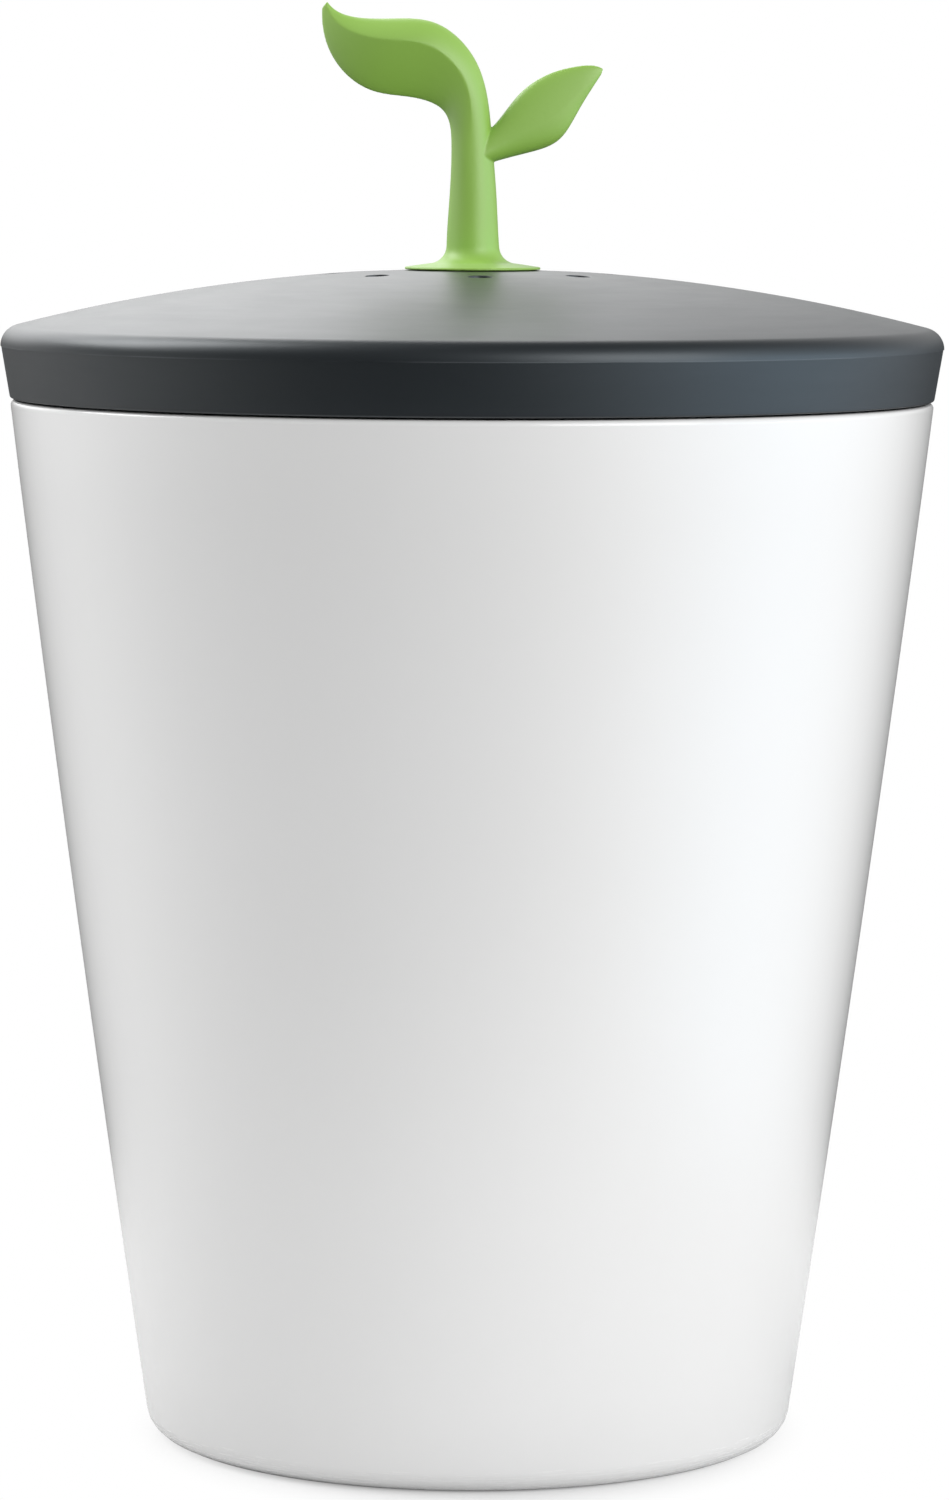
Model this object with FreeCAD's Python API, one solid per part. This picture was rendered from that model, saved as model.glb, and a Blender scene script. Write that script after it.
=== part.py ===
import FreeCAD, Part
import math
import os

# A countertop compost bin: a tapered crock, a lift-out liner with a swinging bail, and a domed
# lid with a sprout handle, vents and a carbon filter. Sizes are in millimetres, +Z is up, the
# front is -Y, and the origin is the middle of the base on the table.

Vector = FreeCAD.Vector
ORIGIN = Vector(0, 0, 0)
UP = Vector(0, 0, 1)

# Crock
crock_height = 210.0
crock_rim_radius = 93.2
crock_foot_radius = 65.2
crock_base_round = 6.5
crock_floor = 5.0
crock_floor_bevel = 5.0
crock_low_wall = 4.3
crock_rim_wall = 3.0
crock_rim_bevel = 0.6
ledge_depth = 4.4
ledge_width = 2.4
foot_recess = 1.0
foot_recess_radius = 46.0

# Liner bucket and its flange
flange_thickness = 2.2
flange_clearance = 0.3
bucket_side_gap = 5.9
bucket_wall = 1.8
bucket_floor_bevel = 6.0
bucket_floor_gap = 3.0
mouth_lip_height = 3.4

# Bail and its ears
strap_width = 3.6
strap_height = 5.6
strap_bevel = 0.9
strap_edge_gap = 0.7
bail_clearance = 0.3
stud_radius = 2.0
stud_clearance = 0.06
stud_end = 0.4
ear_thickness = 2.2
ear_wall = 2.3
ear_lip_gap = 3.1

# Lid
lid_reveal = 0.8
lid_girth_radius = 95.0
lid_skirt_height = 10.4
lid_edge_bevel = 0.5
parting_step = 0.15
shoulder_round = 4.2
dome_rise = 15.65
lid_wall = 2.5
vent_count = 8
vent_circle_radius = 28.2
vent_radius = 2.4
vent_turn = 3.0
plug_clearance = 1.0
plug_wall = 2.2
plug_reach = 2.0
gasket_groove = 1.6
seat_rib_wall = 2.0

# Gasket
gasket_thickness = 2.0
gasket_clearance = 0.3
gasket_tongue = 3.5

# Filter, its tray and the collar that takes them
filter_radius = 44.0
filter_thickness = 8.0
filter_clearance = 0.3
tray_wall = 1.6
tray_floor = 1.6
tray_height = 11.0
tray_lip = 2.6
tray_lift = 5.2
tray_clearance = 0.3
collar_wall = 2.0
slot_count = 12
slot_width = 3.2
slot_inner_radius = 13.0
slot_outer_radius = 38.0
grip_length = 20.0
grip_thickness = 2.4
grip_depth = 4.0

# Handle fixing
spigot_side = 8.0
spigot_clearance = 0.15
boss_radius = 7.5
boss_depth = 5.5
spigot_short = 0.8
screw_radius = 1.75
screw_clearance = 0.05
screw_length = 17.0
screw_point_gap = 2.0
screw_head_radius = 3.8
screw_head_height = 2.5
screw_head_bevel = 1.0
screw_recess_radius = 1.8
screw_recess_depth = 1.5
washer_radius = 7.0
washer_thickness = 1.0

# Sprout: the foot and the stem
foot_radius = 13.7
foot_edge = 0.5
foot_seat_gap = 0.05
flare_height = 4.6
flare_round = 3.6
stem_foot_radius = 5.3
stem_neck_radius = 4.8
stem_neck_height = 13.5

# Sprout: leaf edges as (across, above the dome's top), from the stem to the tip
big_leaf_upper = [
    (3.7, 27.0), (0.6, 41.3), (-6.7, 48.7),
    (-16.0, 50.0), (-24.2, 50.3), (-29.4, 53.3),
]
big_leaf_lower = [
    (-4.4, 25.0), (-6.6, 32.1), (-13.0, 34.3),
    (-21.4, 35.9), (-28.2, 42.0), (-30.5, 52.0),
]
small_leaf_upper = [
    (1.0, 26.0), (5.2, 30.0), (9.4, 35.2), (14.6, 38.8),
    (20.2, 40.5), (24.6, 40.7), (26.1, 40.1),
]
small_leaf_lower = [
    (0.0, 19.5), (5.2, 21.7), (12.0, 23.5), (17.6, 26.2),
    (21.2, 31.8), (24.0, 36.4), (25.7, 39.0),
]

# Sprout: how the leaves' sections roll, crease and thin out, as shares of their width
round_share = 0.5
round_fullness = math.sqrt(0.5)
big_leaf_half_thickness = 4.2
big_leaf_thick_sections = 3
big_leaf_roll_share = 0.3
big_leaf_facet_share = 0.65
big_leaf_edge_share = 0.35
small_leaf_roll_share = 0.36
small_leaf_thickness_share = 0.18
small_leaf_edge_share = 0.75
small_leaf_fullness = 0.95
small_leaf_root_swell = 3.0
small_leaf_swell_reach = 12.0

# Heights and radii that follow from the sizes above
ledge_z = crock_height - ledge_depth
rim_inner_radius = crock_rim_radius - crock_rim_wall
ledge_inner_radius = rim_inner_radius - ledge_width
flange_radius = rim_inner_radius - flange_clearance
flange_top = ledge_z + flange_thickness
lip_top = flange_top + mouth_lip_height

strap_outer_radius = flange_radius - strap_edge_gap
strap_inner_radius = strap_outer_radius - strap_width
ear_outer = strap_inner_radius - bail_clearance
ear_inner = ear_outer - ear_thickness
pivot_z = flange_top + bail_clearance + strap_height / 2

bucket_mouth_radius = ear_inner - ear_lip_gap
mouth_inner_radius = bucket_mouth_radius - bucket_wall
crock_floor_radius = crock_foot_radius - crock_low_wall
bucket_floor_radius = crock_floor_radius - bucket_side_gap

lid_rim_z = crock_height + lid_reveal
girth_z = lid_rim_z + lid_skirt_height
shoulder_radius = lid_girth_radius - shoulder_round
dome_top = girth_z + dome_rise
dome_reach = dome_rise ** 2 + shoulder_radius ** 2 - shoulder_round ** 2
dome_radius = dome_reach / (2 * (dome_rise - shoulder_round))
dome_centre_z = dome_top - dome_radius
shoulder_end_radius = shoulder_radius * dome_radius / (dome_radius - shoulder_round)
plug_outer_radius = mouth_inner_radius - plug_clearance
plug_inner_radius = plug_outer_radius - plug_wall
plug_end_z = flange_top - plug_reach
rib_inner_radius = plug_outer_radius + gasket_groove
rib_outer_radius = rib_inner_radius + seat_rib_wall
seat_z = lip_top + gasket_thickness

tray_wall_outer = filter_radius + filter_clearance + tray_wall
collar_inner_radius = tray_wall_outer + tray_clearance
collar_outer_radius = collar_inner_radius + collar_wall
tray_bottom = plug_end_z + tray_lift
collar_end_z = tray_bottom + tray_floor
filter_bottom = tray_bottom + tray_floor

dome_ceiling = dome_top - lid_wall
boss_end_z = dome_ceiling - boss_depth
spigot_end_z = boss_end_z + spigot_short
washer_bottom = boss_end_z - washer_thickness


def dome_height(radius, below=0.0):
    """Height of the dome at a radius, or of a surface that lies a distance below it."""
    return dome_centre_z + math.sqrt((dome_radius - below) ** 2 - radius ** 2)


def ceiling_height(radius):
    return dome_height(radius, lid_wall)


class Profile:
    """A half section in the XZ plane, drawn from point to point and spun about the Z axis."""

    def __init__(self, radius, z):
        self.start = Vector(radius, 0, z)
        self.last = self.start
        self.edges = []

    def line(self, radius, z):
        end = Vector(radius, 0, z)
        self.edges.append(Part.makeLine(self.last, end))
        self.last = end
        return self

    def arc(self, centre, end):
        """An arc about a centre, the short way round from the last point to the end point."""
        hub = Vector(centre[0], 0, centre[1])
        end = Vector(end[0], 0, end[1])
        halfway = ((self.last + end) * 0.5 - hub).normalize()
        middle = hub + halfway * (end - hub).Length
        self.edges.append(Part.Arc(self.last, middle, end).toShape())
        self.last = end
        return self

    def dome(self, radius, below=0.0):
        """An arc along the dome, or a distance below it, from the last point to a radius."""
        end = Vector(radius, 0, dome_height(radius, below))
        middle_radius = (self.last.x + radius) / 2
        middle = Vector(middle_radius, 0, dome_height(middle_radius, below))
        self.edges.append(Part.Arc(self.last, middle, end).toShape())
        self.last = end
        return self

    def spin(self):
        closing = [Part.makeLine(self.last, self.start)]
        wire = Part.Wire(self.edges + closing)
        return Part.Face(wire).revolve(ORIGIN, UP, 360)


def ring(inner, outer, bottom, top):
    tube = Part.makeCylinder(outer, top - bottom, Vector(0, 0, bottom))
    if inner == 0:
        return tube
    return tube.cut(Part.makeCylinder(inner, top - bottom, Vector(0, 0, bottom)))


def centred_box(length, width, bottom, top):
    return Part.makeBox(length, width, top - bottom, Vector(-length / 2, -width / 2, bottom))


def make_crock():
    wall_lean = math.atan2(crock_rim_radius - crock_foot_radius, crock_height)
    round_start = crock_foot_radius - crock_base_round * (1 - math.sin(wall_lean)) / math.cos(wall_lean)
    round_end_z = crock_base_round * (1 - math.sin(wall_lean))
    round_end_radius = crock_foot_radius + round_end_z * math.tan(wall_lean)
    rim_bevel_z = crock_height - crock_rim_bevel
    rim_bevel_radius = crock_rim_radius - crock_rim_bevel * math.tan(wall_lean)
    return (
        Profile(0, foot_recess)
        .line(foot_recess_radius, foot_recess)
        .line(foot_recess_radius + foot_recess, 0)
        .line(round_start, 0)
        .arc((round_start, crock_base_round), (round_end_radius, round_end_z))
        .line(rim_bevel_radius, rim_bevel_z)
        .line(crock_rim_radius - crock_rim_bevel, crock_height)
        .line(rim_inner_radius + crock_rim_bevel, crock_height)
        .line(rim_inner_radius, rim_bevel_z)
        .line(rim_inner_radius, ledge_z)
        .line(ledge_inner_radius, ledge_z)
        .line(crock_floor_radius, crock_floor + crock_floor_bevel)
        .line(crock_floor_radius - crock_floor_bevel, crock_floor)
        .line(0, crock_floor)
        .spin()
    )


def make_bucket():
    underside = crock_floor + bucket_floor_gap
    floor_top = underside + bucket_wall
    floor_inner_radius = bucket_floor_radius - bucket_wall
    body = (
        Profile(0, underside)
        .line(bucket_floor_radius - bucket_floor_bevel, underside)
        .line(bucket_floor_radius, underside + bucket_floor_bevel)
        .line(bucket_mouth_radius, ledge_z)
        .line(flange_radius, ledge_z)
        .line(flange_radius, flange_top)
        .line(bucket_mouth_radius, flange_top)
        .line(bucket_mouth_radius, lip_top)
        .line(mouth_inner_radius, lip_top)
        .line(mouth_inner_radius, flange_top)
        .line(floor_inner_radius, floor_top + bucket_floor_bevel)
        .line(floor_inner_radius - bucket_floor_bevel, floor_top)
        .line(0, floor_top)
        .spin()
    )
    for side in (1, -1):
        body = body.fuse(make_ear(side))
    return body.removeSplitter()


def make_ear(side):
    """An upright lug on the flange, rounded over its top, with the bore for the bail's stud."""
    ear_radius = stud_radius + stud_clearance + ear_wall
    inner_face = Vector(ear_inner if side > 0 else -ear_outer, 0, pivot_z)
    along = Vector(1, 0, 0)
    head = Part.makeCylinder(ear_radius, ear_thickness, inner_face, along)
    foot_height = pivot_z - flange_top + flange_thickness / 2
    foot_corner = inner_face - Vector(0, ear_radius, foot_height)
    foot = Part.makeBox(ear_thickness, 2 * ear_radius, foot_height, foot_corner)
    bore = Part.makeCylinder(stud_radius + stud_clearance, ear_thickness, inner_face, along)
    return head.fuse(foot).cut(bore)


def strap_section():
    """The bail's section, a strap with bevelled edges."""
    low = pivot_z - strap_height / 2
    high = pivot_z + strap_height / 2
    corners = [
        Vector(strap_outer_radius - strap_bevel, 0, low),
        Vector(strap_outer_radius, 0, low + strap_bevel),
        Vector(strap_outer_radius, 0, high - strap_bevel),
        Vector(strap_outer_radius - strap_bevel, 0, high),
        Vector(strap_inner_radius + strap_bevel, 0, high),
        Vector(strap_inner_radius, 0, high - strap_bevel),
        Vector(strap_inner_radius, 0, low + strap_bevel),
        Vector(strap_inner_radius + strap_bevel, 0, low),
    ]
    return Part.Face(Part.makePolygon(corners + corners[:1]))


def make_bail():
    """A half hoop that lies back on the flange, with a heel and an inward stud at each end."""
    section = strap_section()
    bail = section.revolve(ORIGIN, UP, 180)
    heel_reach = strap_height / 2
    pivot_line = Vector(-strap_outer_radius, 0, pivot_z)
    turning_room = Part.makeCylinder(heel_reach, 2 * strap_outer_radius, pivot_line, Vector(1, 0, 0))
    above_pivot = Part.makeBox(
        2 * strap_outer_radius, heel_reach, heel_reach, Vector(-strap_outer_radius, -heel_reach, pivot_z)
    )
    heel = section.extrude(Vector(0, -heel_reach, 0)).common(turning_room.fuse(above_pivot))
    stud_start = ear_inner - stud_end
    stud_length = strap_inner_radius + strap_width / 2 - stud_start
    stud = Part.makeCylinder(stud_radius, stud_length, Vector(stud_start, 0, pivot_z), Vector(1, 0, 0))
    end = heel.fuse(stud)
    bail = bail.fuse(end).fuse(end.mirror(ORIGIN, Vector(1, 0, 0)))
    return bail.removeSplitter()


def make_lid_shell():
    """The dome, shoulder and skirt, with the plug, seat rib, filter collar and boss below."""
    skirt_top_radius = lid_girth_radius - parting_step
    inner_girth_radius = lid_girth_radius - lid_wall
    inner_rim_radius = crock_rim_radius - lid_wall
    edge_lean = (crock_rim_radius - skirt_top_radius) / lid_skirt_height
    shell = (
        Profile(0, dome_ceiling)
        .line(boss_radius, dome_ceiling)
        .line(collar_inner_radius, ceiling_height(collar_inner_radius))
        .line(collar_inner_radius, collar_end_z)
        .line(collar_outer_radius, collar_end_z)
        .line(collar_outer_radius, ceiling_height(collar_outer_radius))
        .line(plug_inner_radius, ceiling_height(plug_inner_radius))
        .line(plug_inner_radius, plug_end_z)
        .line(plug_outer_radius, plug_end_z)
        .line(plug_outer_radius, ceiling_height(plug_outer_radius))
        .line(rib_inner_radius, ceiling_height(rib_inner_radius))
        .line(rib_inner_radius, seat_z)
        .line(rib_outer_radius, seat_z)
        .line(rib_outer_radius, ceiling_height(rib_outer_radius))
        .line(inner_girth_radius - lid_wall, ceiling_height(inner_girth_radius - lid_wall))
        .line(inner_girth_radius, girth_z)
        .line(inner_rim_radius, lid_rim_z)
        .line(crock_rim_radius - lid_edge_bevel, lid_rim_z)
        .line(crock_rim_radius - edge_lean * lid_edge_bevel, lid_rim_z + lid_edge_bevel)
        .line(skirt_top_radius, girth_z)
        .line(lid_girth_radius, girth_z)
        .arc((shoulder_radius, girth_z), (shoulder_end_radius, dome_height(shoulder_end_radius)))
        .dome(0)
        .spin()
    )
    boss = Part.makeCylinder(boss_radius, boss_depth + lid_wall / 2, Vector(0, 0, boss_end_z))
    socket_side = spigot_side + 2 * spigot_clearance
    shell = shell.fuse(boss).cut(centred_box(socket_side, socket_side, boss_end_z, dome_top))
    front_vent = Vector(0, -vent_circle_radius, boss_end_z)
    for number in range(vent_count):
        vent = Part.makeCylinder(vent_radius, dome_top - boss_end_z, front_vent)
        vent.rotate(ORIGIN, UP, vent_turn + 360 * number / vent_count)
        shell = shell.cut(vent)
    return shell.removeSplitter()


def make_lid_gasket():
    """A flat ring under the seat rib, with a tongue that sits in the groove beside the plug."""
    inner = plug_outer_radius + gasket_clearance
    tongue_outer = rib_inner_radius - gasket_clearance
    return (
        Profile(inner, lip_top)
        .line(rib_outer_radius, lip_top)
        .line(rib_outer_radius, seat_z)
        .line(tongue_outer, seat_z)
        .line(tongue_outer, seat_z + gasket_tongue)
        .line(inner, seat_z + gasket_tongue)
        .spin()
    )


def make_filter_tray():
    """A shallow cup with radial slots, a lip that stops it at the collar and a finger grip."""
    lip_radius = tray_wall_outer + tray_lip
    tray_top = tray_bottom + tray_height
    tray = (
        Profile(0, tray_bottom)
        .line(lip_radius, tray_bottom)
        .line(lip_radius, filter_bottom)
        .line(tray_wall_outer, filter_bottom)
        .line(tray_wall_outer, tray_top)
        .line(tray_wall_outer - tray_wall, tray_top)
        .line(tray_wall_outer - tray_wall, filter_bottom)
        .line(0, filter_bottom)
        .spin()
    )
    grip = centred_box(grip_length, grip_thickness, tray_bottom - grip_depth, filter_bottom)
    tray = tray.fuse(grip)
    for number in range(slot_count):
        angle = 360 * (number + 0.5) / slot_count
        slot = make_slot()
        slot.rotate(ORIGIN, UP, angle)
        tray = tray.cut(slot)
    return tray.removeSplitter()


def make_slot():
    """A round-ended slot through the tray's floor, pointing along +X."""
    half = slot_width / 2
    low = tray_bottom
    body = Part.makeBox(
        slot_outer_radius - slot_inner_radius, slot_width, tray_floor, Vector(slot_inner_radius, -half, low)
    )
    inner_end = Part.makeCylinder(half, tray_floor, Vector(slot_inner_radius, 0, low))
    outer_end = Part.makeCylinder(half, tray_floor, Vector(slot_outer_radius, 0, low))
    return body.fuse(inner_end).fuse(outer_end).removeSplitter()


def make_carbon_filter():
    return ring(0, filter_radius, filter_bottom, filter_bottom + filter_thickness)


def make_handle_washer():
    return ring(screw_radius + screw_clearance, washer_radius, washer_bottom, boss_end_z)


def make_handle_screw():
    """A pan-head screw that comes up through the washer into the spigot."""
    head_bottom = washer_bottom - screw_head_height
    screw = (
        Profile(0, head_bottom)
        .line(screw_head_radius - screw_head_bevel, head_bottom)
        .line(screw_head_radius, head_bottom + screw_head_bevel)
        .line(screw_head_radius, washer_bottom)
        .line(screw_radius, washer_bottom)
        .line(screw_radius, washer_bottom + screw_length - screw_radius)
        .line(0, washer_bottom + screw_length)
        .spin()
    )
    recess = Part.makeCone(screw_recess_radius, 0, screw_recess_depth, Vector(0, 0, head_bottom))
    return screw.cut(recess)


def leaf_point(place):
    return Vector(place[0], 0, dome_top + place[1])


def leaf_section(rolled, thin, roll, half_thickness, facet_share, edge_share):
    """Poles of a closed section between a rolled edge and a thin edge, in four quarters.

    The roll is a half ellipse where facet_share is 1, and a flatter facet that ends in a crease
    where it is less. Beyond it the sides run to the thin edge, as tapers where edge_share is
    small and as another half ellipse where it is 1.
    """
    ridge = rolled + (thin - rolled).normalize() * roll
    front = Vector(0, -half_thickness, 0)
    return [
        [rolled, rolled + front * facet_share, ridge + front],
        [ridge + front, thin + front * edge_share, thin],
        [thin, thin - front * edge_share, ridge - front],
        [ridge - front, rolled - front * facet_share, rolled],
    ]


def path_through(points, stations):
    """A smooth path through one pole of every section."""
    path = Part.BSplineCurve()
    path.interpolate(Points=points, Parameters=stations)
    return path


def skin(sections, fullness):
    """A closed solid over a row of sections: four smooth strips and a cap at each end.

    The fullness is the weight of each quarter's middle pole: the more, the boxier the section.
    """
    middles = [(section[0][0] + section[1][2]) * 0.5 for section in sections]
    stations = [0.0]
    for before, after in zip(middles, middles[1:]):
        stations.append(stations[-1] + (after - before).Length)
    quarter_weights = [1.0, fullness, 1.0]
    strips = []
    for quarter in range(len(sections[0])):
        paths = []
        for pole in range(len(quarter_weights)):
            paths.append(path_through([section[quarter][pole] for section in sections], stations))
        poles = list(zip(*[path.getPoles() for path in paths]))
        strip = Part.BSplineSurface()
        strip.buildFromPolesMultsKnots(
            [list(row) for row in poles],
            paths[0].getMultiplicities(),
            [3, 3],
            paths[0].getKnots(),
            [0.0, 1.0],
            False,
            False,
            paths[0].Degree,
            2,
            [quarter_weights] * len(poles),
        )
        strips.append(strip)
    faces = [strip.toShape() for strip in strips]
    for end in (strips[0].getUKnots()[0], strips[0].getUKnots()[-1]):
        rim = [strip.uIso(end).toShape() for strip in strips]
        faces.append(Part.Face(Part.Wire(rim)))
    shell = Part.Shell(faces)
    shell.sewShape()
    solid = Part.Solid(shell)
    if solid.Volume < 0:
        solid.reverse()
    return solid


def make_big_leaf():
    """The stem above its flare and the leaf that it curls over into."""
    stem = [(stem_foot_radius, flare_height), (stem_neck_radius, stem_neck_height)]
    uppers = stem + big_leaf_upper
    lowers = [(-radius, above) for radius, above in stem] + big_leaf_lower
    sections = []
    for number, (upper, lower) in enumerate(zip(uppers, lowers)):
        rolled = leaf_point(upper)
        thin = leaf_point(lower)
        chord = (thin - rolled).Length
        if number < len(stem):
            share = round_share
        elif number < len(stem) + big_leaf_thick_sections:
            share = min(round_share, max(big_leaf_roll_share, big_leaf_half_thickness / chord))
        else:
            share = big_leaf_roll_share
        stem_like = (share - big_leaf_roll_share) / (round_share - big_leaf_roll_share)
        facet_share = big_leaf_facet_share + (1 - big_leaf_facet_share) * stem_like
        edge_share = big_leaf_edge_share + (1 - big_leaf_edge_share) * stem_like
        sections.append(leaf_section(rolled, thin, share * chord, share * chord, facet_share, edge_share))
    return skin(sections, round_fullness)


def make_small_leaf():
    """The side leaf, thickest near its lower edge, whose root swells out of the stem's front and back."""
    sections = []
    for upper, lower in zip(small_leaf_upper, small_leaf_lower):
        rolled = leaf_point(lower)
        thin = leaf_point(upper)
        chord = (thin - rolled).Length
        roll = small_leaf_roll_share * chord
        swell = small_leaf_root_swell * max(0, 1 - upper[0] / small_leaf_swell_reach)
        half_thickness = small_leaf_thickness_share * chord + swell
        sections.append(leaf_section(rolled, thin, roll, half_thickness, 1, small_leaf_edge_share))
    return skin(sections, small_leaf_fullness)


def make_sprout_handle():
    seat = foot_seat_gap
    foot_edge_z = dome_height(foot_radius) + seat
    flare_top = dome_top + flare_height
    flare_start = stem_foot_radius + flare_round
    foot = (
        Profile(0, dome_top + seat)
        .dome(foot_radius, -seat)
        .line(foot_radius, foot_edge_z + foot_edge)
        .line(flare_start, flare_top - flare_round)
        .arc((flare_start, flare_top), (stem_foot_radius, flare_top))
        .line(0, flare_top)
        .spin()
    )
    handle = foot.fuse(make_big_leaf()).fuse(make_small_leaf())
    spigot = centred_box(spigot_side, spigot_side, spigot_end_z, dome_top + flare_height / 2)
    handle = handle.fuse(spigot)
    pilot_depth = washer_bottom + screw_length + screw_point_gap - spigot_end_z
    pilot = Part.makeCylinder(screw_radius + screw_clearance, pilot_depth, Vector(0, 0, spigot_end_z))
    return handle.cut(pilot).removeSplitter()


pieces = {
    "crock": make_crock,
    "bucket": make_bucket,
    "bail": make_bail,
    "lid_shell": make_lid_shell,
    "lid_gasket": make_lid_gasket,
    "filter_tray": make_filter_tray,
    "carbon_filter": make_carbon_filter,
    "handle_washer": make_handle_washer,
    "handle_screw": make_handle_screw,
    "sprout_handle": make_sprout_handle,
}

os.makedirs("parts", exist_ok=True)
for node, make in pieces.items():
    shape = make()
    box = shape.BoundBox
    print(node, shape.isValid(), len(shape.Solids), "solid,", round(shape.Volume / 1000, 2), "cm3,",
          "z", round(box.ZMin, 2), "to", round(box.ZMax, 2))
    shape.exportStep("parts/" + node + ".step")
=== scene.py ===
import math

import bmesh
import bpy
from mathutils import Matrix, Vector


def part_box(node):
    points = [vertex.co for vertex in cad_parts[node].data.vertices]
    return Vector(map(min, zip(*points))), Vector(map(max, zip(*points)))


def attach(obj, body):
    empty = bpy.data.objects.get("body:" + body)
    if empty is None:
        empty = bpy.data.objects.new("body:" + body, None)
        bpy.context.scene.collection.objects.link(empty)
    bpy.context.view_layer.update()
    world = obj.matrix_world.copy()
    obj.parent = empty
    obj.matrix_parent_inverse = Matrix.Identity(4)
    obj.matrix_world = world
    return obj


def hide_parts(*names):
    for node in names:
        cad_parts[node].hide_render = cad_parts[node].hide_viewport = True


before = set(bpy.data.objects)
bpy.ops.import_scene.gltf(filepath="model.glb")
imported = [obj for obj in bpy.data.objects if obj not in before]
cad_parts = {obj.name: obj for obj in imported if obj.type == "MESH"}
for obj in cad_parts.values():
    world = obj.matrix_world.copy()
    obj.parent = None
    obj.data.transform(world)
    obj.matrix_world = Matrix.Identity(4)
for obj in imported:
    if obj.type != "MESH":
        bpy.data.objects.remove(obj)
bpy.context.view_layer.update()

# A countertop compost bin: a glossy white crock, a satin charcoal lid with a ring of vents, a
# soft green sprout to lift it by, and under the lid a grey liner and a carbon filter.
# Shapes are drawn in millimetres in the frame's own axes and brought to metres at the end.

MM = 0.001


def node_box(node):
    """Lowest and highest corner of a node of the frame, in millimetres."""
    low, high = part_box(node)
    return low / MM, high / MM


# Sizes that the frame gives
crock_top = node_box("crock")[1]
lid_foot, lid_top = node_box("lid_shell")
felt_foot, felt_top = node_box("carbon_filter")
crock_rim_radius = min(crock_top.x, crock_top.y)
lid_girth = min(lid_top.x, lid_top.y)
felt_radius = min(felt_top.x, felt_top.y)

# Fineness of the meshes
turn_steps = 192
felt_turn_steps = 96
floor_turn_steps = 96
corner_steps = 5
weld_mm = 1e-4
weld_m = 1e-6

# Crock
foot_radius = 65.2
foot_round = 5.2
foot_recess = 1.0
foot_recess_radius = 46.0
wall_bow = 0.6
wall_levels = 12
rim_wall = 3.0
rim_round = 1.1
rim_lift = 0.4
ledge_depth = 4.4
ledge_width = 2.4
crock_floor = 5.0
crock_floor_radius = 60.9
crock_floor_round = 7.0

# Lid
lid_rim_z = 210.8
girth_z = 221.2
shoulder_round = 4.2
shoulder_steps = 12
parting_step = 0.15
lid_wall = 2.5
inner_girth_round = 1.0
dome_rise = 15.65
dome_steps = 16
plug_inner = 75.0
plug_wall = 2.2
rib_inner = 78.8
rib_wall = 2.0
rib_foot_z = 213.2
collar_inner = 46.2
collar_wall = 2.0
collar_foot_z = 212.6
boss_radius = 7.5
boss_foot_z = 228.85
bore_radius = 5.8
edge_round = 0.4
vent_count = 8
vent_circle = 28.2
vent_radius = 2.4
vent_turn = math.radians(3.0)
vent_block = 8
vent_edge_round = 0.25
vent_edge_steps = 2
vent_margin = 0.5

# Carbon felt
felt_edge_round = 2.2
felt_sag = 0.5
felt_crown_share = 0.6
felt_crown_sag = 0.1
felt_crown_round = 6.0

# Sprout
sprout_grid_depth = 8
sprout_grid_fill = 0.99
sprout_soft_passes = 7
sprout_soft_strength = 0.5

# The dome is a ball's cap that runs smoothly into the rounded shoulder
shoulder_radius = lid_girth - shoulder_round
dome_top = girth_z + dome_rise
dome_span = dome_rise ** 2 + shoulder_radius ** 2 - shoulder_round ** 2
dome_radius = dome_span / (2 * (dome_rise - shoulder_round))
shoulder_end = shoulder_radius * dome_radius / (dome_radius - shoulder_round)


def dome_height(radius, below=0.0):
    """Height of the lid's dome at a radius, or of a surface a distance below it."""
    return dome_top - dome_radius + math.sqrt((dome_radius - below) ** 2 - radius ** 2)


def ceiling_height(radius):
    """Height of the underside of the dome at a radius."""
    return dome_height(radius, lid_wall)


# Shapes

def round_corner(shape, corner, radius):
    """Rounds a corner of a flat section."""
    to_before, to_after = [edge.other_vert(corner).co - corner.co for edge in corner.link_edges]
    reach = radius / math.tan(to_before.angle(to_after) / 2)
    bmesh.ops.bevel(
        shape, geom=[corner], offset=reach, offset_type="OFFSET", segments=corner_steps,
        profile=0.5, affect="VERTICES", material=-1,
    )


def lathe(section, steps=turn_steps):
    """A half section spun about the Z axis.

    The section is a closed row of (radius, height, rounding), with 0 for a sharp corner. Where
    it starts and ends on the axis, the spun shape closes there.
    """
    shape = bmesh.new()
    corners = [shape.verts.new((radius, 0, height)) for radius, height, rounding in section]
    shape.faces.new(corners)
    for corner, (radius, height, rounding) in zip(corners, section):
        if rounding:
            round_corner(shape, corner, rounding)
    bmesh.ops.delete(shape, geom=shape.faces[:], context="FACES_ONLY")
    on_axis = [edge for edge in shape.edges if max(vert.co.x for vert in edge.verts) == 0]
    bmesh.ops.delete(shape, geom=on_axis, context="EDGES")
    bmesh.ops.spin(
        shape, geom=shape.verts[:] + shape.edges[:], cent=(0, 0, 0), axis=(0, 0, 1),
        angle=math.tau, steps=steps, use_merge=True,
    )
    bmesh.ops.remove_doubles(shape, verts=shape.verts[:], dist=weld_mm)
    bmesh.ops.recalc_face_normals(shape, faces=shape.faces[:])
    return shape


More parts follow.
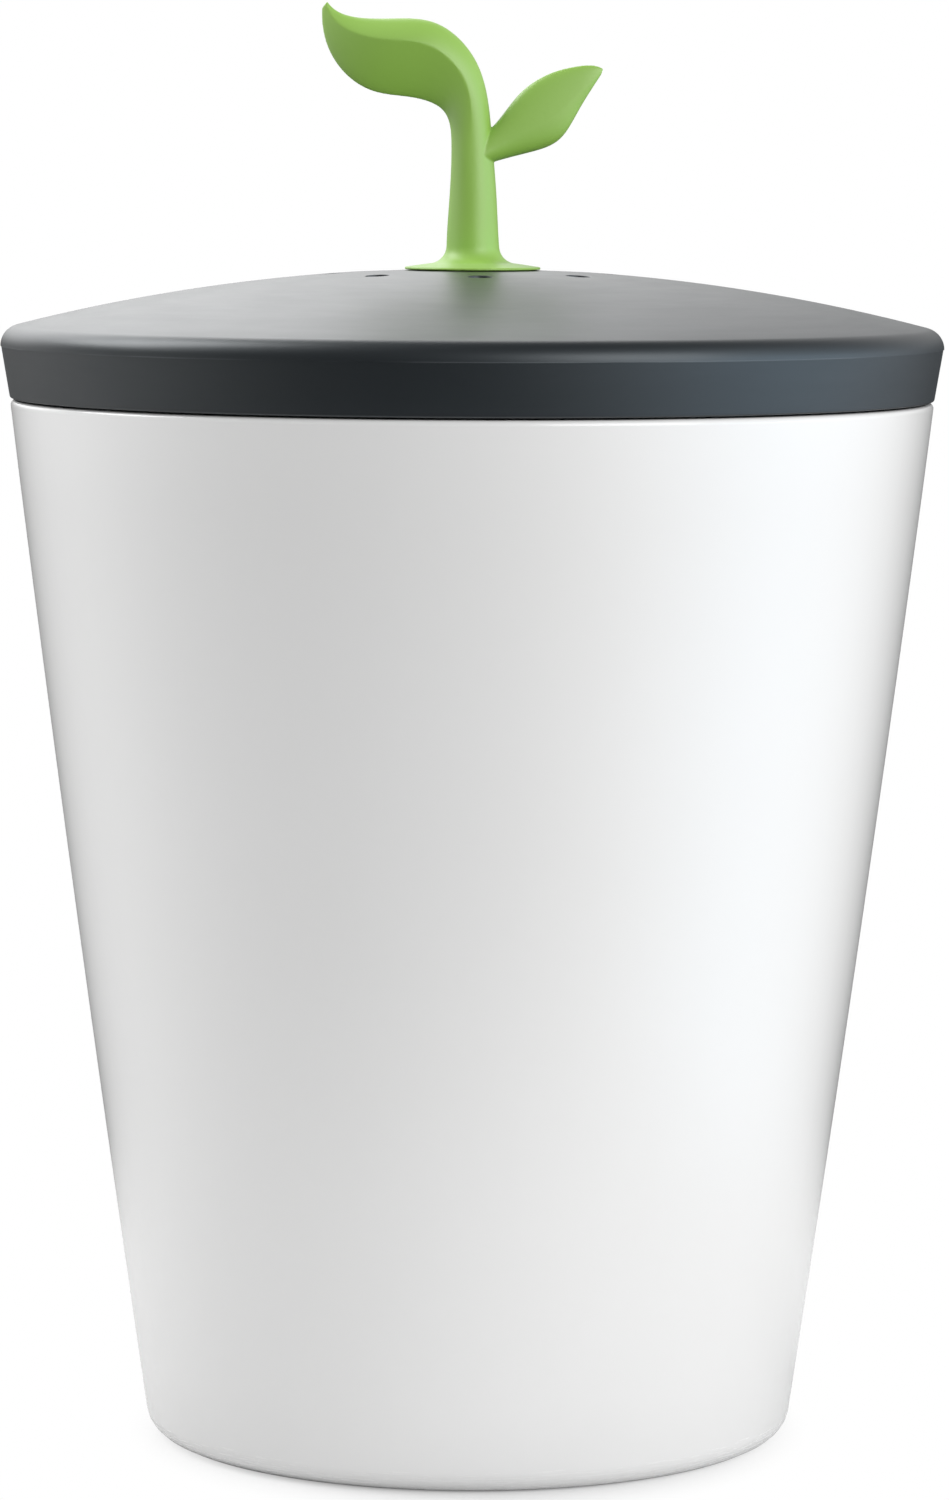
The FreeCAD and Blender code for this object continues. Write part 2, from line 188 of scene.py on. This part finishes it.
def crock_shape():
    """The tapered crock, whose wall bows out a little between its foot and its rim."""
    rim_inner = crock_rim_radius - rim_wall
    rim_z = crock_top.z + rim_lift
    ledge_z = crock_top.z - ledge_depth
    section = [
        (0, foot_recess, 0),
        (foot_recess_radius, foot_recess, edge_round),
        (foot_recess_radius + foot_recess, 0, edge_round),
        (foot_radius, 0, foot_round),
    ]
    for level in range(1, wall_levels):
        share = level / wall_levels
        bow = wall_bow * 4 * share * (1 - share)
        radius = foot_radius + (crock_rim_radius - foot_radius) * share + bow
        section.append((radius, crock_top.z * share, 0))
    section += [
        (crock_rim_radius, rim_z, rim_round),
        (rim_inner, rim_z, rim_round),
        (rim_inner, ledge_z, edge_round),
        (rim_inner - ledge_width, ledge_z, edge_round),
        (crock_floor_radius, crock_floor, crock_floor_round),
        (0, crock_floor, 0),
    ]
    return lathe(section)


def vent_ring_radii():
    """Radii of the rings of faces that the vents are cut into, evenly spaced about the vents."""
    pitch = math.tau * vent_circle / turn_steps
    return [vent_circle + pitch * (ring - vent_block / 2) for ring in range(vent_block + 1)]


def lid_shape():
    """The dome, shoulder and skirt, with the plug, seat rib, filter collar and boss below."""
    plug_outer = plug_inner + plug_wall
    rib_outer = rib_inner + rib_wall
    collar_outer = collar_inner + collar_wall
    inner_girth = lid_girth - lid_wall
    inner_shoulder = inner_girth - lid_wall
    vent_rings = vent_ring_radii()
    section = [
        (bore_radius, boss_foot_z, edge_round),
        (boss_radius, boss_foot_z, edge_round),
        (boss_radius, ceiling_height(boss_radius), edge_round),
    ]
    section += [(radius, ceiling_height(radius), 0) for radius in vent_rings]
    section += [
        (collar_inner, ceiling_height(collar_inner), edge_round),
        (collar_inner, collar_foot_z, edge_round),
        (collar_outer, collar_foot_z, edge_round),
        (collar_outer, ceiling_height(collar_outer), edge_round),
        (plug_inner, ceiling_height(plug_inner), edge_round),
        (plug_inner, lid_foot.z, edge_round),
        (plug_outer, lid_foot.z, edge_round),
        (plug_outer, ceiling_height(plug_outer), edge_round),
        (rib_inner, ceiling_height(rib_inner), edge_round),
        (rib_inner, rib_foot_z, edge_round),
        (rib_outer, rib_foot_z, edge_round),
        (rib_outer, ceiling_height(rib_outer), edge_round),
        (inner_shoulder, ceiling_height(inner_shoulder), inner_girth_round),
        (inner_girth, girth_z, inner_girth_round),
        (crock_rim_radius - lid_wall, lid_rim_z, edge_round),
        (crock_rim_radius, lid_rim_z, edge_round),
        (lid_girth - parting_step, girth_z, 0),
        (lid_girth, girth_z, 0),
    ]
    shoulder_turn = math.acos((shoulder_end - shoulder_radius) / shoulder_round)
    for step in range(1, shoulder_steps + 1):
        angle = shoulder_turn * step / shoulder_steps
        radius = shoulder_radius + shoulder_round * math.cos(angle)
        section.append((radius, girth_z + shoulder_round * math.sin(angle), 0))
    dome_width = vent_rings[-1] - shoulder_end
    dome_rings = [shoulder_end + dome_width * step / dome_steps for step in range(1, dome_steps)]
    for radius in dome_rings + vent_rings[::-1]:
        section.append((radius, dome_height(radius), 0))
    section.append((bore_radius, dome_height(bore_radius), 0))
    shape = lathe(section)
    open_vents(shape, vent_rings)
    turn = Matrix.Rotation(vent_turn - math.pi / 2, 3, "Z")
    bmesh.ops.rotate(shape, cent=(0, 0, 0), matrix=turn, verts=shape.verts[:])
    return shape


def open_vents(shape, rings):
    """Cuts a ring of round holes through the dome, each in a block of its faces."""
    half_width = math.tau / turn_steps * vent_block / 2
    for number in range(vent_count):
        bearing = math.tau * number / vent_count
        towards = Vector((math.cos(bearing), math.sin(bearing)))
        block = []
        for face in shape.faces:
            middle = face.calc_center_median().xy
            if rings[0] < middle.length < rings[-1] and middle.angle(towards) < half_width:
                block.append(face)
        bmesh.ops.delete(shape, geom=block, context="FACES")
        rims = []
        for surface in (dome_height, ceiling_height):
            rims.append(open_vent(shape, towards * vent_circle, surface))
        bmesh.ops.bridge_loops(shape, edges=rims[0] + rims[1])
        bmesh.ops.bevel(
            shape, geom=rims[0], offset=vent_edge_round, offset_type="OFFSET",
            segments=vent_edge_steps, profile=0.5, affect="EDGES", material=-1,
        )
    bmesh.ops.recalc_face_normals(shape, faces=shape.faces[:])


def open_vent(shape, centre, surface):
    """Joins the square hole in one surface of the dome to a round vent, whose edges it returns."""
    reach = vent_circle * math.tau / turn_steps * vent_block
    square = []
    for edge in shape.edges:
        middle = (edge.verts[0].co + edge.verts[1].co) / 2
        on_surface = abs(middle.z - surface(middle.xy.length)) < lid_wall / 4
        if edge.is_boundary and on_surface and (middle.xy - centre).length < reach:
            square.append(edge)
    outline = square
    for radius in (vent_radius + vent_margin, vent_radius):
        circle = bmesh.ops.create_circle(
            shape, cap_ends=False, segments=4 * vent_block, radius=radius,
            matrix=Matrix.Translation((centre.x, centre.y, 0)),
        )
        for vert in circle["verts"]:
            vert.co.z = surface(vert.co.xy.length)
        edges = list({edge for vert in circle["verts"] for edge in vert.link_edges})
        bmesh.ops.bridge_loops(shape, edges=outline + edges)
        outline = edges
    return outline


def felt_shape():
    """The carbon felt disc: a pad with soft edges and a slight crown."""
    section = [
        (0, felt_foot.z, 0),
        (felt_radius, felt_foot.z, felt_edge_round),
        (felt_radius, felt_top.z - felt_sag, felt_edge_round),
        (felt_radius * felt_crown_share, felt_top.z - felt_crown_sag, felt_crown_round),
        (0, felt_top.z, 0),
    ]
    return lathe(section, steps=felt_turn_steps)


def sprout_shape():
    """A copy of the sprout's solid, with its facets joined, ready to be softened."""
    shape = bmesh.new()
    shape.from_mesh(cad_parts["sprout_handle"].data)
    bmesh.ops.remove_doubles(shape, verts=shape.verts[:], dist=weld_m)
    bmesh.ops.scale(shape, vec=(1 / MM, 1 / MM, 1 / MM), verts=shape.verts[:])
    return shape


# Pieces

def make_piece(name, shape, body, finish, node, sharp_angle=40):
    """Turns a shape in millimetres into a piece in metres that stands for a node of the frame."""
    bmesh.ops.scale(shape, vec=(MM, MM, MM), verts=shape.verts[:])
    mesh = bpy.data.meshes.new(name)
    shape.to_mesh(mesh)
    shape.free()
    mesh.shade_smooth()
    mesh.set_sharp_from_angle(angle=math.radians(sharp_angle))
    mesh.materials.append(finish)
    piece = bpy.data.objects.new(name, mesh)
    bpy.context.scene.collection.objects.link(piece)
    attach(piece, body)
    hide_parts(node)
    return piece


def soften_sprout(piece):
    """Skins the sprout with an even mesh and rounds the creases where its leaves and stem meet."""
    skin = piece.modifiers.new("one_skin", "REMESH")
    skin.mode = "SHARP"
    skin.octree_depth = sprout_grid_depth
    skin.scale = sprout_grid_fill
    skin.use_smooth_shade = True
    soft = piece.modifiers.new("soft_creases", "SMOOTH")
    soft.factor = sprout_soft_strength
    soft.iterations = sprout_soft_passes


# Finishes

class Signal:
    """A socket of a finish. Arithmetic on signals adds Math nodes."""

    def __init__(self, socket):
        self.socket = socket

    def node(self, kind, settings, inputs, output=0):
        """Adds a node of that kind, sets it up, feeds its sockets and returns one of its outputs."""
        made = self.socket.id_data.nodes.new(kind)
        for name, setting in settings.items():
            setattr(made, name, setting)
        for name, value in inputs.items():
            feed(made.inputs[name], value)
        return Signal(made.outputs[output])

    def math(self, operation, first, second=0.0):
        return self.node("ShaderNodeMath", {"operation": operation}, {0: first, 1: second})

    def __add__(self, other):
        return self.math("ADD", self, other)

    def __sub__(self, other):
        return self.math("SUBTRACT", self, other)

    def __rsub__(self, other):
        return self.math("SUBTRACT", other, self)

    def __mul__(self, other):
        return self.math("MULTIPLY", self, other)

    __radd__ = __add__
    __rmul__ = __mul__


def feed(socket, value):
    """Links a signal to a socket, or sets the socket's own value."""
    if isinstance(value, Signal):
        socket.id_data.links.new(value.socket, socket)
    else:
        socket.default_value = value


def mix(mask, first, second):
    """A colour that goes from the first to the second as the mask goes from 0 to 1."""
    return mask.node("ShaderNodeMix", {"data_type": "RGBA"}, {0: mask, 6: first, 7: second}, 2)


def noise(place, scale, detail=3.0, roughness=0.5):
    """Noise with grains of about 1 / scale metres, round 0.5."""
    inputs = {"Vector": place, "Scale": scale, "Detail": detail, "Roughness": roughness}
    return place.node("ShaderNodeTexNoise", {}, inputs)


def stretch(place, x, y, z):
    """A place with each of its coordinates multiplied by a number."""
    return place.node("ShaderNodeVectorMath", {"operation": "MULTIPLY"}, {0: place, 1: (x, y, z)})


def smoothstep(value, low, high):
    """0 below low, 1 above high, and smooth between them."""
    inputs = {"Value": value, "From Min": low, "From Max": high}
    return value.node("ShaderNodeMapRange", {"interpolation_type": "SMOOTHSTEP"}, inputs)


def part_of(place, axis):
    """One coordinate of a place."""
    return place.node("ShaderNodeSeparateXYZ", {}, {"Vector": place}, axis)


def bump(height, strength, distance):
    """A normal that is tilted as if the surface rose and fell with the height."""
    inputs = {"Height": height, "Strength": strength, "Distance": distance}
    return height.node("ShaderNodeBump", {}, inputs)


def new_finish(name, constants):
    """A material with the constants of its shader set, its shader and its object coordinates."""
    material = bpy.data.materials.new(name)
    material.use_nodes = True
    shader = material.node_tree.nodes["Principled BSDF"]
    for socket, value in constants.items():
        shader.inputs[socket].default_value = value
    place = Signal(material.node_tree.nodes.new("ShaderNodeTexCoord").outputs["Object"])
    return material, shader, place


def around_axis(place):
    """Cylinder coordinates of a place: its angle about Z, its distance from Z and its height."""
    x = part_of(place, "X")
    y = part_of(place, "Y")
    angle = x.math("ARCTAN2", y, x)
    distance = x.math("SQRT", x * x + y * y)
    return x.node("ShaderNodeCombineXYZ", {}, {"X": angle, "Y": distance, "Z": part_of(place, "Z")})


def white_melamine():
    """Glossy moulded white, with a faint orange peel, cloudy gloss and scuffs round the foot."""
    shade = (0.80, 0.80, 0.795, 1)
    light = (0.83, 0.83, 0.83, 1)
    material, shader, place = new_finish("white_melamine", {"Coat Roughness": 0.06, "Coat IOR": 1.5})
    clouds = noise(place, scale=14.0, detail=4.0)
    peel = noise(place, scale=420.0, detail=2.0)
    scratches = noise(stretch(place, 60.0, 60.0, 900.0), scale=3.0, detail=4.0, roughness=0.7)
    near_foot = 1 - smoothstep(part_of(place, "Z"), 0.0005, 0.006)
    scuffs = near_foot * smoothstep(scratches, 0.5, 0.7)
    feed(shader.inputs["Base Color"], mix(clouds, shade, light))
    feed(shader.inputs["Roughness"], 0.2 + 0.1 * clouds + 0.25 * scuffs)
    feed(shader.inputs["Coat Weight"], 0.35 + 0.2 * clouds)
    feed(shader.inputs["Normal"], bump(peel + 0.6 * clouds, strength=0.06, distance=0.0002))
    return material


def charcoal_satin():
    """Satin moulded charcoal, with a fine spark-eroded grain and faint wiping marks.

    A broken lighter line is painted at the height of the lid's girth: a painted highlight of light
    catching the parting line.
    """
    shade = (0.0045, 0.0065, 0.0085, 1)
    light = (0.007, 0.0095, 0.012, 1)
    parting_highlight = (0.045, 0.05, 0.055, 1)
    constants = {"Specular Tint": (0.78, 0.92, 1.0, 1), "Coat Roughness": 0.4}
    material, shader, place = new_finish("charcoal_satin", constants)
    polar = around_axis(place)
    grain = noise(place, scale=2600.0, detail=2.0)
    clouds = noise(place, scale=22.0, detail=4.0)
    wipes = noise(stretch(polar, 1.1, 60.0, 60.0), scale=3.0, detail=5.0, roughness=0.65)
    height = part_of(place, "Z")
    from_girth = height.math("ABSOLUTE", height - girth_z * MM)
    near_girth = 1 - smoothstep(from_girth, 0.00006, 0.00018)
    # Painted highlight: light catching the parting line, painted as a lighter broken line at the
    # girth
    parting_highlight_mask = near_girth * smoothstep(noise(polar, scale=2.5), 0.42, 0.6)
    feed(shader.inputs["Base Color"], mix(parting_highlight_mask, mix(clouds, shade, light), parting_highlight))
    feed(shader.inputs["Roughness"], 0.42 + 0.08 * clouds + 0.06 * wipes)
    feed(shader.inputs["Coat Weight"], 0.85 - 0.2 * wipes)
    feed(shader.inputs["Normal"], bump(grain + 0.12 * wipes, strength=0.08, distance=0.00008))
    return material


def sprout_green():
    """Soft-touch green, velvety, with a fine grain."""
    shade = (0.277, 0.52, 0.065, 1)
    light = (0.308, 0.555, 0.082, 1)
    constants = {"Specular IOR Level": 1.0, "Sheen Weight": 0.1}
    material, shader, place = new_finish("sprout_green", constants)
    grain = noise(place, scale=3200.0, detail=2.0)
    clouds = noise(place, scale=60.0, detail=3.0)
    feed(shader.inputs["Base Color"], mix(clouds, shade, light))
    feed(shader.inputs["Roughness"], 0.4 + 0.1 * clouds + 0.06 * grain)
    feed(shader.inputs["Normal"], bump(grain, strength=0.08, distance=0.00006))
    return material


def liner_grey():
    """Satin grey liner plastic with a leather-fine grain and a cloudy gloss."""
    shade = (0.27, 0.29, 0.29, 1)
    light = (0.33, 0.35, 0.35, 1)
    material, shader, place = new_finish("liner_grey", {"IOR": 1.49})
    grain = noise(place, scale=1500.0, detail=3.0)
    clouds = noise(place, scale=18.0, detail=4.0)
    feed(shader.inputs["Base Color"], mix(clouds, shade, light))
    feed(shader.inputs["Roughness"], 0.36 + 0.12 * clouds)
    feed(shader.inputs["Normal"], bump(grain, strength=0.1, distance=0.0001))
    return material


def gasket_rubber():
    """Matt grey rubber with a dusty bloom."""
    shade = (0.40, 0.41, 0.40, 1)
    light = (0.50, 0.51, 0.50, 1)
    material, shader, place = new_finish("gasket_rubber", {"IOR": 1.5})
    bloom = noise(place, scale=90.0, detail=5.0)
    grain = noise(place, scale=2200.0, detail=2.0)
    feed(shader.inputs["Base Color"], mix(bloom, shade, light))
    feed(shader.inputs["Roughness"], 0.6 + 0.2 * bloom)
    feed(shader.inputs["Normal"], bump(grain, strength=0.15, distance=0.00008))
    return material


def carbon_felt():
    """Black needled felt: matted fibres that lie mostly flat, with dusty grey ends."""
    shade = (0.008, 0.008, 0.009, 1)
    light = (0.045, 0.045, 0.047, 1)
    material, shader, place = new_finish("carbon_felt", {"IOR": 1.4})
    lengthways = stretch(place, 300.0, 2600.0, 1800.0)
    crossways = stretch(place, 2400.0, 350.0, 1800.0)
    long_fibres = noise(lengthways, scale=1.0, detail=4.0, roughness=0.7)
    cross_fibres = noise(crossways, scale=1.0, detail=4.0, roughness=0.7)
    fibres = 0.5 * long_fibres + 0.5 * cross_fibres
    dusty = smoothstep(fibres, 0.5, 0.68)
    feed(shader.inputs["Base Color"], mix(dusty, shade, light))
    feed(shader.inputs["Roughness"], 0.85 + 0.1 * dusty)
    feed(shader.inputs["Normal"], bump(fibres, strength=0.7, distance=0.0004))
    return material


def fixing_steel():
    """Turned steel, with fine rings about the axis."""
    shade = (0.50, 0.50, 0.50, 1)
    light = (0.66, 0.66, 0.65, 1)
    material, shader, place = new_finish("fixing_steel", {"Metallic": 1.0})
    polar = around_axis(place)
    rings = noise(stretch(polar, 0.5, 9000.0, 9000.0), scale=1.0, detail=3.0, roughness=0.6)
    feed(shader.inputs["Base Color"], mix(rings, shade, light))
    feed(shader.inputs["Roughness"], 0.25 + 0.2 * rings)
    feed(shader.inputs["Normal"], bump(rings, strength=0.2, distance=0.00005))
    return material


white = white_melamine()
charcoal = charcoal_satin()
green = sprout_green()
grey = liner_grey()
steel = fixing_steel()

make_piece("crock_wall", crock_shape(), "crock", white, "crock")
make_piece("lid_dome", lid_shape(), "lid", charcoal, "lid_shell", sharp_angle=30)
sprout = make_piece("sprout_skin", sprout_shape(), "lid", green, "sprout_handle")
soften_sprout(sprout)
felt = make_piece("filter_felt", felt_shape(), "filter", carbon_felt(), "carbon_filter")

node_finishes = {
    "bucket": grey,
    "bail": grey,
    "filter_tray": charcoal,
    "lid_gasket": gasket_rubber(),
    "handle_washer": steel,
    "handle_screw": steel,
}
for node, finish in node_finishes.items():
    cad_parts[node].material_slots[0].material = finish


# Floor, with the distances from the bin's axis at which it turns white and clear
floor_radius = 0.42
white_start = 0.05
white_end = 0.085
clear_start = 0.18
clear_end = 0.4
shadow_squeeze = 1.2


def seen_directly(place):
    """1 for what the camera sees straight or through something clear, and 0 for other rays."""
    straight = place.node("ShaderNodeLightPath", {}, {}, "Is Camera Ray")
    return straight + place.node("ShaderNodeLightPath", {}, {}, "Is Transmission Ray")


def floor_finish():
    """A studio table: pale, with the bin's shadow on it.

    Away from the bin it is white to the camera, and clear to light and reflections, which see
    the world's table there. The shadow fades out sooner to the sides than to the front.
    """
    shade = (0.69, 0.69, 0.69, 1)
    light = (0.73, 0.73, 0.73, 1)
    constants = {"Roughness": 0.6, "Specular IOR Level": 0.2}
    material, shader, place = new_finish("pale_floor", constants)
    seen = seen_directly(place)
    grain = noise(place, scale=300.0, detail=3.0)
    feed(shader.inputs["Base Color"], mix(grain, shade, light))
    flat = stretch(place, shadow_squeeze, 1.0, 0.0)
    away = flat.node("ShaderNodeVectorMath", {"operation": "LENGTH"}, {0: flat}, "Value")
    whitened = seen * smoothstep(away, white_start, white_end)
    cleared = (1 - seen) * smoothstep(away, clear_start, clear_end)
    near = Signal(shader.outputs["BSDF"])
    glow = place.node("ShaderNodeEmission", {}, {})
    nothing = place.node("ShaderNodeBsdfTransparent", {}, {})
    seen_table = place.node("ShaderNodeMixShader", {}, {0: whitened, 1: near, 2: glow})
    surface = place.node("ShaderNodeMixShader", {}, {0: cleared, 1: seen_table, 2: nothing})
    feed(material.node_tree.nodes["Material Output"].inputs["Surface"], surface)
    return material


def make_floor():
    """A flat disc under the bin."""
    shape = bmesh.new()
    bmesh.ops.create_circle(shape, cap_ends=True, segments=floor_turn_steps, radius=floor_radius)
    mesh = bpy.data.meshes.new("floor")
    shape.to_mesh(mesh)
    shape.free()
    mesh.materials.append(floor_finish())
    floor = bpy.data.objects.new("floor", mesh)
    bpy.context.scene.collection.objects.link(floor)


make_floor()


# Light
bin_middle = Vector((0, 0, 0.15))


def add_softbox(name, place, width, height, power):
    """A rectangular soft light at a place, turned to the middle of the bin."""
    light = bpy.data.lights.new(name, "AREA")
    light.shape = "RECTANGLE"
    light.size = width
    light.size_y = height
    light.energy = power
    lamp = bpy.data.objects.new(name, light)
    lamp.location = place
    lamp.rotation_euler = (bin_middle - Vector(place)).to_track_quat("-Z", "Y").to_euler()
    bpy.context.scene.collection.objects.link(lamp)


add_softbox("right_softbox", place=(0.76, -1.0, 0.7), width=0.9, height=0.8, power=8.0)
add_softbox("left_softbox", place=(-0.87, 0.28, 1.08), width=0.6, height=0.8, power=9.8)

# Brightness of the studio round the bin, as it lights the bin and as the bin mirrors it
right_side = (0.98, -0.2, 0)
left_side = (-0.99, 0.14, 0)
room_lighting = 0.5
room_mirrored = 0.12
room_right = 1.2
backdrop_lighting = 0.3
backdrop_foot = 0.4
backdrop_climb = 3.6
backdrop_left = 1.25
backdrop_right_loss = 0.93
table_shade = 0.03
table_right = 1.7
table_left_lighting = 2.3
table_left_mirrored = 0.8
strip_level = 1.5
plain_tint = (1, 1, 1, 1)
cool_tint = (0.74, 0.94, 1.12, 1)


def lobe(towards, side):
    """Light that is strongest towards one side and gone a quarter turn away from it."""
    both = {0: towards, 1: side}
    facing = towards.node("ShaderNodeVectorMath", {"operation": "DOT_PRODUCT"}, both, "Value")
    clipped = facing.math("MAXIMUM", facing, 0.0)
    return clipped * clipped * clipped


def by_ray(mirrored, lighting, reflection):
    """One level for the light that falls on the bin, and another for what the bin mirrors."""
    return lighting + mirrored * (reflection - lighting)


def light_world():
    """White to the camera. To the bin it is a dim room, a backdrop behind it and a pale table.

    The table is lit at its left and right. The bin also mirrors a low strip light at the right,
    and mirrors that side of the room a little blue.
    """
    world = bpy.data.worlds.new("studio")
    bpy.context.scene.world = world
    world.use_nodes = True
    backdrop = world.node_tree.nodes["Background"]
    towards = Signal(world.node_tree.nodes.new("ShaderNodeTexCoord").outputs["Generated"])
    mirrored = towards.node("ShaderNodeLightPath", {}, {}, "Is Glossy Ray")
    up = part_of(towards, "Z")
    above = smoothstep(up, 0.03, 0.18)
    behind = smoothstep(part_of(towards, "Y"), 0.5, 0.8)
    rightward = smoothstep(part_of(towards, "X"), -0.1, 0.2)
    right_glow = lobe(towards, right_side)
    left_glow = lobe(towards, left_side)

    graded = (backdrop_foot + backdrop_climb * up) * (backdrop_left - backdrop_right_loss * rightward)
    backdrop_level = by_ray(mirrored, backdrop_lighting, graded)
    room_level = by_ray(mirrored, room_lighting, room_mirrored)
    room = room_level + behind * backdrop_level + room_right * right_glow
    table_left = by_ray(mirrored, table_left_lighting, table_left_mirrored)
    table = table_shade + table_right * right_glow + table_left * left_glow
    strip_height = smoothstep(up, -0.06, 0.04) * (1 - smoothstep(up, 0.15, 0.3))
    strip = mirrored * right_glow * right_glow * strip_height
    studio = (1 - above) * table + above * room + strip_level * strip

    seen = seen_directly(towards)
    feed(backdrop.inputs["Color"], mix(mirrored * right_glow, plain_tint, cool_tint))
    feed(backdrop.inputs["Strength"], seen + (1 - seen) * studio)


light_world()


# Camera, fitted to the photograph's rims, foot and handle
camera_place = (0.0008, -1.1856, 0.2593)
camera_dip = 0.1009
camera_roll = 0.0045
focal_pixels = 5861.6
frame_height_pixels = 1500

lens = bpy.data.cameras.new("camera")
lens.sensor_width = 36.0
lens.lens = focal_pixels / frame_height_pixels * lens.sensor_width
camera = bpy.data.objects.new("camera", lens)
aim = Matrix.Rotation(math.pi / 2 - camera_dip, 4, "X") @ Matrix.Rotation(camera_roll, 4, "Z")
camera.matrix_world = Matrix.Translation(camera_place) @ aim
bpy.context.scene.collection.objects.link(camera)
bpy.context.scene.camera = camera

bpy.context.scene.view_settings.view_transform = "Standard"
